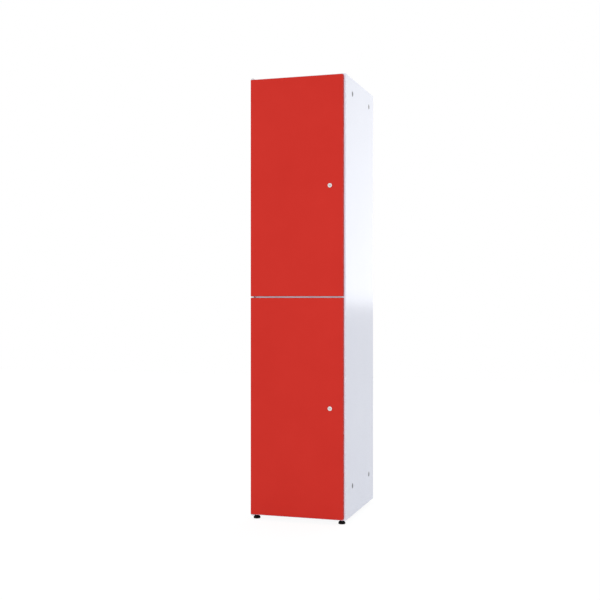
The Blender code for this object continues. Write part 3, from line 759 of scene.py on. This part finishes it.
for level in LEVELS:
    low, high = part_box(f"{level}_door_skin")
    tray = door_tray(high.x - low.x, high.z - low.z, high.y - low.y)
    tray.transform(at((low.x + high.x) / 2, low.y, low.z) @ UPRIGHT)
    barrel = flatted_rod(BARREL_RADIUS + FIT, BARREL_FLAT_DEPTH, -CUT, CUT)
    drills = [placed(barrel, at(*lock_axis[level]), UPRIGHT)]
    hinge = axis_place[f"{level}_door_hinge"]
    for height in (low.z, high.z):
        drills.append(placed(rod(BUSH_RADIUS + FIT, -CUT, CUT), at(hinge.x, hinge.y, height)))
    door = stand_for(f"{level}_door_skin", broken_edges(cut(tray, drills), PAINT_EDGE))
    print(door.name, len(door.data.polygons), "faces")

# %% [markdown]
# Cam locks
#
# A cam lock is a die-cast housing with a round head, a plug that turns in it, a nut behind the door and a
# flat cam on the plug's tail. Head and plug are turned profiles with rounded corners, so that their rims draw
# The keyway is cut with a wider middle, as a key's ribbed blade needs, and its inside gets a dark painted
# shade that stands for the shade deep in the slot.

# %% Function for a lock's housing
RIM_ROUND = 0.0009


def front_and_back(level, kind):
    """Return how high the front and the back of a lock's piece lie along the lock's axis."""
    low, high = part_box(f"{level}_lock_{kind}")
    return lock_axis[level].y - low.y, lock_axis[level].y - high.y


def lock_housing(level):
    """Turn a housing along Z, its head in front of the door and its barrel behind."""
    bore = radius_of(f"{level}_lock_plug") + FIT
    head = radius_of(f"{level}_lock_housing")
    face, end = front_and_back(level, "housing")
    profile = [(bore, face - FIT), (bore + 2 * FIT, face), (head - RIM_ROUND, face), (head, face - RIM_ROUND),
               (head, FIT), (BARREL_RADIUS, FIT), (BARREL_RADIUS, end), (bore, end)]
    flat = BARREL_RADIUS - BARREL_FLAT_DEPTH
    mills = [block((sign * flat, -head, end - CUT), (sign * head, head, 0)) for sign in (-1, 1)]
    return cut(turned(softened(profile, RIM_ROUND / 2)), mills)


print("housing function ready")

# %% Functions for a lock's plug
KEYWAY_LENGTH = 0.0062
KEYWAY_WIDTH = 0.0016
KEYWAY_WAIST = 0.00115
KEYWAY_STEPS = 10
KEYWAY_DEPTH = 0.014
TAIL_WIDTH = 0.0065
CAM_SCREW_RADIUS = 0.00175
CAM_SCREW_LENGTH = 0.008


def keyway_outline():
    """List the corners of a slot along X with a round widening in its middle."""
    rise = math.degrees(math.asin(KEYWAY_WIDTH / 2 / KEYWAY_WAIST))
    x, y = KEYWAY_LENGTH / 2, KEYWAY_WIDTH / 2
    upper = [(x, y), *arc(KEYWAY_WAIST, rise, 180 - rise, KEYWAY_STEPS), (-x, y)]
    return upper + [(-x, -y) for x, y in upper]


def lock_plug(level):
    """Turn a plug along Z, add the square tail for the cam, and cut the keyway and the screw's hole."""
    barrel_end = front_and_back(level, "housing")[1]
    face, tail_end = front_and_back(level, "plug")
    radius = radius_of(f"{level}_lock_plug")
    body = turned(softened([(0, face), (radius, face), (radius, barrel_end), (0, barrel_end)], 2 * FIT))
    half = TAIL_WIDTH / 2
    tail = block((-half, -half, tail_end), (half, half, barrel_end + CUT))
    body = cut(body, [tail], "UNION")
    slot = lifted(keyway_outline(), face - KEYWAY_DEPTH, face + CUT)
    thread = rod(CAM_SCREW_RADIUS + FIT, tail_end - CUT, tail_end + CAM_SCREW_LENGTH)
    return worked(cut(body, [slot, thread]), [FLAT_SHADING])


def paint_keyway_shade(level, mesh):
    """Give the faces inside a plug's keyway a dark painted shade, for the shade deep in the slot."""
    mesh.materials.append(keyway_painted_shade)
    lock = lock_axis[level]
    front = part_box(f"{level}_lock_plug")[0].y + PAINT_EDGE
    for face in mesh.polygons:
        x, y, z = face.center
        inside = abs(x - lock.x) < KEYWAY_LENGTH / 2 + FIT and abs(z - lock.z) < KEYWAY_WIDTH
        if inside and front < y < front + KEYWAY_DEPTH:
            face.material_index = 1


print("keyway outline has", len(keyway_outline()), "points")

# %% Make both locks
for level in LEVELS:
    for kind, make in (("housing", lock_housing), ("plug", lock_plug)):
        shape = placed(make(level), at(*lock_axis[level]), UPRIGHT)
        piece = stand_for(f"{level}_lock_{kind}", shape, lock_chrome[level])
    # Paint the shade of the deep keyway onto the faces inside the plug's slot.
    paint_keyway_shade(level, piece.data)
print("lock heads are", round(2 * radius_of("upper_lock_housing"), 4), "m across")

# %% [markdown]
# Cams, nuts and screws
#
# Behind the door a hexagon nut holds the housing and a pan head screw holds the cam. A nut is a hexagonal bar
# whose corners were chamfered in a lathe, so it is the part that a hexagon and a turned shape share. That
# shape is set round by half a facet, because a cut is least sure where edges of both shapes meet. The screw
# head is a dome with a cross recess. The cam is punched from strip, so its edges are only broken.

# %% Functions for nuts and screws
NUT_CHAMFER = 0.6
HALF_FACET = math.radians(180 / ROUND_STEPS)
DOME_POWER = 0.8
DOME_STEPS = 6
CROSS_WIDTH = 0.0009
CROSS_SPAN = 0.0042
CROSS_DEPTH = 0.6


def hexagon_nut(across, low, high, hole):
    """Make a chamfered hexagon nut along Z with a round hole."""
    corner = across / math.sqrt(3)
    bar = lifted(arc(corner, 30, 390, 6)[:-1], low, high)
    wide = corner + FIT
    chamfer = (wide - across / 2) * NUT_CHAMFER
    shell = turned([(0, low), (across / 2, low), (wide, low + chamfer), (wide, high - chamfer),
                    (across / 2, high), (0, high)])
    shell.transform(Matrix.Rotation(HALF_FACET, 4, "Z"))
    drill = rod(hole, low - CUT, high + CUT)
    return broken_edges(cut(cut(bar, [shell], "INTERSECT"), [drill]), PAINT_EDGE)


def pan_screw(radius, head, low, high, reach):
    """Turn a pan head screw along Z, its head from low to high, and cut a cross in its head."""
    height = high - low
    dome = [(head * x, high - height * y ** DOME_POWER) for x, y in arc(1, 0, 90, DOME_STEPS)[1:-1]]
    shape = turned([(0, reach), (radius, reach), (radius, high), (head, high), *dome, (0, low)])
    span, width = CROSS_SPAN / 2, CROSS_WIDTH / 2
    floor_of_cross = low + height * CROSS_DEPTH
    arms = [block((-x, -y, low - CUT), (x, y, floor_of_cross)) for x, y in ((span, width), (width, span))]
    return cut(shape, arms)


print("nut and screw functions ready")

# %% Make nuts, cams and screws
for level in LEVELS:
    lock = lock_axis[level]
    front, back = front_and_back(level, "nut")
    nut = hexagon_nut(2 * radius_of(f"{level}_lock_nut"), back, front, BARREL_RADIUS + FIT)
    stand_for(f"{level}_lock_nut", placed(nut, at(*lock), UPRIGHT))
    front, back = front_and_back(level, "screw")
    seat = front_and_back(level, "cam")[1] - FIT
    screw = pan_screw(CAM_SCREW_RADIUS, radius_of(f"{level}_lock_screw"), low=back, high=seat, reach=front)
    stand_for(f"{level}_lock_screw", placed(screw, at(*lock), UPRIGHT))
    eased_copy(f"{level}_lock_cam", STRIP_EDGE, STRIP_STEPS)
print("lock hardware made for both doors")

# %% [markdown]
# Hinge pins and bushes
#
# Each door turns on two steel pins in nylon bushes, almost out of sight in the gaps. The pins are turned from
# the frame's sizes, with rounded corners and, at the top and the bottom of the cabinet, a head. The bushes
# are right in the frame and only get their edges broken.

# %% Turn pins and copy bushes
PIN_RADIUS = 0.003
PIN_CHAMFER = 0.0006
PIN_HEAD_HEIGHT = 0.0013


def headed_pin(length, head):
    """Turn a pin along Z with its head below Z = 0."""
    profile = [(0, length), (PIN_RADIUS, length), (PIN_RADIUS, 0), (head, 0), (head, -PIN_HEAD_HEIGHT),
               (0, -PIN_HEAD_HEIGHT)]
    return turned(softened(profile, PIN_CHAMFER))


for node, turn in (("bottom_hinge_pin", 0), ("top_hinge_pin", 180)):
    low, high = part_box(node)
    pin = headed_pin(high.z - low.z - PIN_HEAD_HEIGHT, radius_of(node))
    base = high.z - PIN_HEAD_HEIGHT if turn else low.z + PIN_HEAD_HEIGHT
    flip = Matrix.Rotation(math.radians(turn), 4, "X")
    stand_for(node, placed(pin, at(middle(node).x, middle(node).y, base), flip))
low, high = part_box("middle_hinge_pin")
profile = [(0, high.z), (PIN_RADIUS, high.z), (PIN_RADIUS, low.z), (0, low.z)]
x, y, _ = middle("middle_hinge_pin")
stand_for("middle_hinge_pin", placed(turned(softened(profile, PIN_CHAMFER)), at(x, y, 0)))
for level in LEVELS:
    for end in ("top", "bottom"):
        eased_copy(f"{level}_door_{end}_bush", PAINT_EDGE)
print("3 pins and 4 bushes")

# %% [markdown]
# Coat hooks
#
# One strip of steel is bent into a double hook and fixed under the ceiling of each compartment. It is a
# folded piece like the sides, only thicker and with wide bends, so the same tree makes it. Its four tip
# corners are rounded in plan, because a coat's loop slides over them.

# %% Fold the coat hooks
HOOK_STRIP = 0.0025
HOOK_PLATE = 0.034
HOOK_TIP = 0.016
HOOK_BEND = 0.006
HOOK_TIP_ROUND = 0.007
HOOK_TIP_STEPS = 8


def coat_hook(node):
    """Fold a double hook in the XY plane, round its tips, and stand it up."""
    low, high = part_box(node)
    out = radius_of(node) - HOOK_STRIP / 2
    bottom = low.z + HOOK_STRIP / 2
    ceiling = high.z - HOOK_STRIP / 2
    half = HOOK_PLATE / 2
    path = [(-out, bottom + HOOK_TIP), (-out, bottom), (-half, bottom), (-half, ceiling),
            (half, ceiling), (half, bottom), (out, bottom), (out, bottom + HOOK_TIP)]
    bm = bmesh.new()
    bm.from_mesh(folded(path, HOOK_STRIP, HOOK_BEND, high.y - low.y, finishes["zinc_steel"]))
    tips = []
    for edge in bm.edges:
        first, second = edge.verts[0].co, edge.verts[1].co
        across_strip = abs(first.x - second.x) > HOOK_STRIP - FIT
        at_end = min(first.y, second.y) > bottom + HOOK_TIP - FIT
        on_arm = min(abs(first.x), abs(second.x)) > half + HOOK_STRIP
        if across_strip and at_end and on_arm:
            tips.append(edge)
    bmesh.ops.bevel(bm, geom=tips, offset=HOOK_TIP_ROUND, segments=HOOK_TIP_STEPS, affect="EDGES",
                    profile=0.5)
    rounded = mesh_from(bm)
    rounded.transform(at(0, high.y, 0) @ UPRIGHT)
    return broken_edges(rounded, STRIP_EDGE, STRIP_STEPS)


for level in LEVELS:
    hook = stand_for(f"{level}_coat_hook", coat_hook(f"{level}_coat_hook"))
    print(hook.name, len(hook.data.polygons), "faces")

# %% [markdown]
# Feet
#
# Each foot is a black bell of plastic on a threaded stud, with a nut on the base's lip. The stud's thread
# would be hundreds of facets by hand, and a tree makes it from a plain cylinder: every point is pushed in by
# an amount that depends on its height and its angle, so that the groove climbs one pitch in each turn.

# %% Tree for a screw thread
THREAD_SIDES = 24
RINGS_IN_PITCH = 8

thread_tree, thread_input = start_tree("screw_thread", Radius="Float", Pitch="Float", Depth="Float",
                                       Length="Float", Finish="Material")


def number(operation, *values):
    """Add a Math node to the thread's tree."""
    return add_node(thread_tree, "ShaderNodeMath", dict(enumerate(values)), operation=operation)


pitches = number("DIVIDE", thread_input["Length"], thread_input["Pitch"])
rings = number("CEIL", number("MULTIPLY", pitches, RINGS_IN_PITCH))
cylinder = {"Vertices": THREAD_SIDES, "Side Segments": rings, "Fill Segments": 1,
            "Radius": thread_input["Radius"], "Depth": thread_input["Length"]}
bar = add_node(thread_tree, "GeometryNodeMeshCylinder", cylinder)
split = thread_tree.nodes.new("ShaderNodeSeparateXYZ")
thread_tree.links.new(add_node(thread_tree, "GeometryNodeInputPosition", {}), split.inputs["Vector"])
x, y, z = split.outputs
turn = number("DIVIDE", number("ARCTAN2", y, x), 2 * math.pi)
climb = number("SUBTRACT", number("DIVIDE", z, thread_input["Pitch"]), turn)
groove = number("ABSOLUTE", number("SUBTRACT", number("MULTIPLY", number("FRACT", climb), 2), 1))
shrink = number("DIVIDE", number("MULTIPLY", groove, thread_input["Depth"]), thread_input["Radius"])
keep = number("SUBTRACT", 1, shrink)
corner = {"X": number("MULTIPLY", x, keep), "Y": number("MULTIPLY", y, keep), "Z": z}
inwards = add_node(thread_tree, "ShaderNodeCombineXYZ", corner)
cut_thread = add_node(thread_tree, "GeometryNodeSetPosition", {"Geometry": bar, "Position": inwards})
end_tree(thread_tree, cut_thread, thread_input["Finish"])
print("thread tree has", len(thread_tree.nodes), "nodes")

# %% [markdown]
# Bells, studs and nuts
#
# The bell, the stud and the nut are now put together at each corner. The bell's foot is flat where it meets
# the floor. Above a low upright rim its outline is half a wave of the cosine, which leaves the rim and joins
# the neck without a corner, as the photograph shows it.

# %% Make the four feet
STUD_RADIUS = 0.004
THREAD_PITCH = 0.00125
THREAD_DEPTH = 0.0006
BELL_RIM = 0.0055
BELL_NECK_RADIUS = 0.008
BELL_NECK_HEIGHT = 0.0015
BELL_STEPS = 12
CORNERS = ("front_left", "front_right", "rear_left", "rear_right")


def bell(corner):
    """Turn a foot's bell with a socket for its stud."""
    base = radius_of(f"{corner}_foot_pad")
    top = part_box(f"{corner}_foot_pad")[1].z
    socket = radius_of(f"{corner}_foot_stud") + FIT
    socket_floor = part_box(f"{corner}_foot_stud")[0].z - FIT
    rise = top - BELL_NECK_HEIGHT - BELL_RIM
    swell = (base - BELL_NECK_RADIUS) / 2
    shoulder = [(BELL_NECK_RADIUS + swell * (1 - math.cos(math.pi * i / BELL_STEPS)),
                 BELL_RIM + rise * (1 - i / BELL_STEPS)) for i in range(BELL_STEPS + 1)]
    neck = [(socket, top), (BELL_NECK_RADIUS - FIT, top), (BELL_NECK_RADIUS, top - FIT)]
    foot = [(base, FIT), (base - FIT, 0), (0, 0)]
    return turned([(0, socket_floor), (socket, socket_floor), *neck, *shoulder, *foot])


blank = bpy.data.meshes.new("blank")
for corner in CORNERS:
    x, y, _ = middle(f"{corner}_foot_pad")
    stand_for(f"{corner}_foot_pad", placed(bell(corner), at(x, y, 0)))
    low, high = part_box(f"{corner}_foot_stud")
    stud = grown(thread_tree, blank, Radius=radius_of(f"{corner}_foot_stud"), Pitch=THREAD_PITCH,
                 Depth=THREAD_DEPTH, Length=high.z - low.z, Finish=finishes["zinc_steel"])
    stand_for(f"{corner}_foot_stud", placed(stud, at(*middle(f"{corner}_foot_stud"))))
    low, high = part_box(f"{corner}_foot_nut")
    nut = hexagon_nut(high.x - low.x, low.z, high.z, STUD_RADIUS + FIT)
    stand_for(f"{corner}_foot_nut", placed(nut, at(x, y, 0)))
print(len(CORNERS), "feet made")

# %% [markdown]
# Plugs and bumpers
#
# Grey plastic plugs close the linking holes, flush with the outside, and small rubber bumpers stop the doors
# from rattling. Both are round, so the lathe makes them. A plug has a softened rim and a slight dish, and a
# bumper is a low dome on an upright wall.

# %% Turn the hole plugs and bumpers
DISH_FLAT = 0.6
DISH_RIM = 0.75
BUMPER_WALL = 0.45


def hole_plug(node):
    """Turn a plug along Z with its outer face at Z = 0."""
    low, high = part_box(node)
    depth = high.x - low.x
    rim = (high.z - low.z) / 2
    radius = LINK_HOLE_RADIUS - FIT
    seat = -SHEET - FIT
    profile = [(0, -FIT), (radius * DISH_FLAT, -FIT), (radius * DISH_RIM, 0), (radius, 0), (radius, seat),
               (rim, seat), (rim, -depth), (0, -depth)]
    return turned(softened(profile, FIT))


def bumper(node):
    """Turn a low rubber dome along Z, its back at Z = 0."""
    low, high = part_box(node)
    radius = radius_of(node)
    height = high.y - low.y
    quarter = arc(1, 0, 90, DOME_STEPS)[:-1]
    dome = [(radius * x, height * (BUMPER_WALL + (1 - BUMPER_WALL) * y)) for x, y in quarter]
    return turned([(0, 0), (radius, 0), *dome, (0, height)])


for side, sign in SIDES:
    for index in LINK_HOLES:
        node = f"{side}_hole_plug_{index}"
        low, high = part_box(node)
        outer = high.x if sign > 0 else low.x
        outwards = Matrix.Rotation(math.radians(90) * sign, 4, "Y")
        stand_for(node, placed(hole_plug(node), at(outer, middle(node).y, middle(node).z), outwards))
for level in LEVELS:
    for end in ("bottom", "top"):
        node = f"{level}_{end}_bumper"
        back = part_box(node)[1].y
        stand_for(node, placed(bumper(node), at(middle(node).x, back, middle(node).z), UPRIGHT))
print("8 plugs and 4 bumpers")

# %% [markdown]
# Rivets
#
# The back is held by pop rivets through the rear flanges of the sides, and each coat hook by a pair under its
# plate. A rivet row is the classic use of geometry nodes: a line of points, one head on each. The head is
# turned once, with the small hole that its mandrel leaves, and the tree repeats it. The rows ride on the
# carcass.

# %% Tree for a row of rivets
RIVET_RADIUS = 0.0032
RIVET_HEIGHT = 0.0009
RIVET_HOLE = 0.0009
RIVET_ARC = (10, 70)
RIVET_STEPS = 4

row_tree, row_input = start_tree("rivet_row", Count="Int", Start="Vector", Gap="Vector", Finish="Material")
spacing = {"Count": row_input["Count"], "Start Location": row_input["Start"], "Offset": row_input["Gap"]}
points = add_node(row_tree, "GeometryNodeMeshLine", spacing, mode="OFFSET")
heads = {"Points": points, "Instance": row_input["Geometry"]}
end_tree(row_tree, add_node(row_tree, "GeometryNodeInstanceOnPoints", heads), row_input["Finish"])

dome = [(RIVET_RADIUS * x, RIVET_HEIGHT * y) for x, y in arc(1, *RIVET_ARC, RIVET_STEPS)]
hole = [(RIVET_HOLE, RIVET_HEIGHT), (RIVET_HOLE, RIVET_HEIGHT / 2), (0, RIVET_HEIGHT / 2)]
rivet_head = turned([(0, 0), (RIVET_RADIUS, 0), *dome, *hole])
print("a rivet head has", len(rivet_head.polygons), "faces")

# %% Make the rows
RIVET_COUNT = 9
RIVET_END = 0.060
HOOK_RIVET_GAP = 0.014


def rivet_row(name, facing, slot, **sizes):
    """Turn the rivet head to face a way, repeat it along a line, and let the row ride on the carcass."""
    head = placed(rivet_head, Vector(facing).to_track_quat("Z", "Y").to_matrix().to_4x4())
    piece = add_object(name, grown(row_tree, head, Finish=finishes[slot], **sizes))
    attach(piece, "carcass")


for side, sign in SIDES:
    low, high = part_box(f"{side}_side")
    start = Vector(((low.x + high.x) / 2, high.y, low.z + RIVET_END))
    gap = Vector((0, 0, (high.z - low.z - 2 * RIVET_END) / (RIVET_COUNT - 1)))
    rivet_row(f"{side}_rear_rivets", (0, 1, 0), "body_white", Count=RIVET_COUNT, Start=start, Gap=gap)
for level in LEVELS:
    x, y, _ = middle(f"{level}_coat_hook")
    start = Vector((x - HOOK_RIVET_GAP / 2, y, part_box(f"{level}_coat_hook")[1].z - HOOK_STRIP))
    gap = Vector((HOOK_RIVET_GAP, 0, 0))
    rivet_row(f"{level}_hook_rivets", (0, 0, -1), "zinc_steel", Count=2, Start=start, Gap=gap)
print(RIVET_COUNT, "rivets on each rear flange and 2 under each hook")

# %% [markdown]
# Floor and sky
#
# The photograph has a plain white ground. The sky is white only for what the camera and shiny surfaces see of
# it, and gives a plain soft light to the rest. The floor is pale and does the same, but keeps a share of its
# own shading, so that the cabinet still has its shadow.

# %% Sky
AMBIENT = 0.69


def seen_directly(tree):
    """Return a value that is 1 for camera, glossy and transmission rays and 0 for the rest."""
    path = tree.nodes.new("ShaderNodeLightPath").outputs
    total = path["Is Camera Ray"]
    for label in ("Is Glossy Ray", "Is Transmission Ray"):
        total = add_node(tree, "ShaderNodeMath", {0: total, 1: path[label]}, operation="MAXIMUM")
    return total


world = bpy.data.worlds.new("studio")
bpy.context.scene.world = world
world.use_nodes = True
sky = world.node_tree
background = sky.nodes["Background"].inputs
background["Color"].default_value = (1, 1, 1, 1)
sky.links.new(between(sky, seen_directly(sky), AMBIENT, 1.0, start=0, end=1), background["Strength"])
print("the sky's soft light has strength", AMBIENT)

# %% Floor
SHADOW_SHARE = 0.16
FLOOR_TONE = 0.82
FLOOR_GLOW = 1.09
FLOOR_SIZE = 14.0


def stage_sheet(name, paint, corners):
    """Stand a flat sheet in the scene that isn't part of the cabinet."""
    mesh = bpy.data.meshes.new(name)
    mesh.from_pydata(corners, [], [(0, 1, 2, 3)])
    mesh.materials.append(paint)
    sheet = add_object(name, mesh)
    return sheet


floor_paint, floor_tree, floor_shader = start_finish("floor", Roughness=0.9, Specular_IOR_Level=0.0,
                                                     Base_Color=(FLOOR_TONE, FLOOR_TONE, FLOOR_TONE, 1))
glow = add_node(floor_tree, "ShaderNodeEmission", {"Strength": FLOOR_GLOW})
parts = {0: seen_directly(floor_tree), 1: 1 - SHADOW_SHARE}
share = add_node(floor_tree, "ShaderNodeMath", parts, operation="MULTIPLY")
mixed = add_node(floor_tree, "ShaderNodeMixShader", {"Fac": share, 1: floor_shader.outputs["BSDF"], 2: glow})
floor_tree.links.new(mixed, floor_tree.nodes["Material Output"].inputs["Surface"])
half = FLOOR_SIZE / 2
stage_sheet("floor", floor_paint, [(-half, -half, 0), (half, -half, 0), (half, half, 0), (-half, half, 0)])
print("floor is", FLOOR_SIZE, "m wide")

# %% [markdown]
# Lamp and soft panel
#
# A wide, low lamp in front lights the doors evenly. It stands level with the gap between them, so that its
# light reaches the edge of the shelf inside. The white side mirrors what stands behind it and to its right.
# In the photograph it is bright above the level of the camera's eye and plain below, so a soft panel stands
# there whose lower edge is near that level. It fades upwards. The camera doesn't see it, but the paint does.

# %% Place the lamp
LAMP_POWER = 89
LAMP_PLACE = Vector((0.75, -5.4, 0.946))
LAMP_SIZE = (2.0, 0.65)

lamp_data = bpy.data.lights.new("front_lamp", "AREA")
lamp_data.shape = "RECTANGLE"
lamp_data.size, lamp_data.size_y = LAMP_SIZE
lamp_data.energy = LAMP_POWER
lamp = add_object("front_lamp", lamp_data)
lamp.location = LAMP_PLACE
cabinet_middle = Vector((0, 0, (frame_low.z + frame_high.z) / 2))
lamp.rotation_euler = (cabinet_middle - LAMP_PLACE).to_track_quat("-Z", "Y").to_euler()
lamp.visible_camera = False
lamp.visible_glossy = False
print("lamp stands", round((cabinet_middle - LAMP_PLACE).length, 2), "m from the cabinet's middle")

# %% Place the soft panel
PANEL_MIDDLE = Vector((1.35, 4.3, 0))
PANEL_WIDTH = 3.4
PANEL_LOW = 0.856
PANEL_HIGH = 4.2
PANEL_BRIGHT = 2.13
PANEL_FADED = 1.16

panel_paint, panel_tree, _ = start_finish("soft_panel")
panel_height = panel_tree.nodes.new("ShaderNodeSeparateXYZ")
panel_tree.links.new(place_on(panel_tree), panel_height.inputs["Vector"])
fade = between(panel_tree, panel_height.outputs["Z"], PANEL_BRIGHT, PANEL_FADED, PANEL_LOW, PANEL_HIGH)
panel_glow = add_node(panel_tree, "ShaderNodeEmission", {"Strength": fade})
panel_tree.links.new(panel_glow, panel_tree.nodes["Material Output"].inputs["Surface"])
reach = Vector((math.cos(CAMERA_TURN), -math.sin(CAMERA_TURN), 0)) * PANEL_WIDTH / 2
left, right = PANEL_MIDDLE - reach, PANEL_MIDDLE + reach
panel = stage_sheet("soft_panel", panel_paint, [(*left.xy, PANEL_LOW), (*right.xy, PANEL_LOW),
                                                (*right.xy, PANEL_HIGH), (*left.xy, PANEL_HIGH)])
panel.visible_camera = False
panel.visible_shadow = False
bpy.context.scene.view_settings.view_transform = "Standard"
print("soft panel is", PANEL_WIDTH, "m wide")
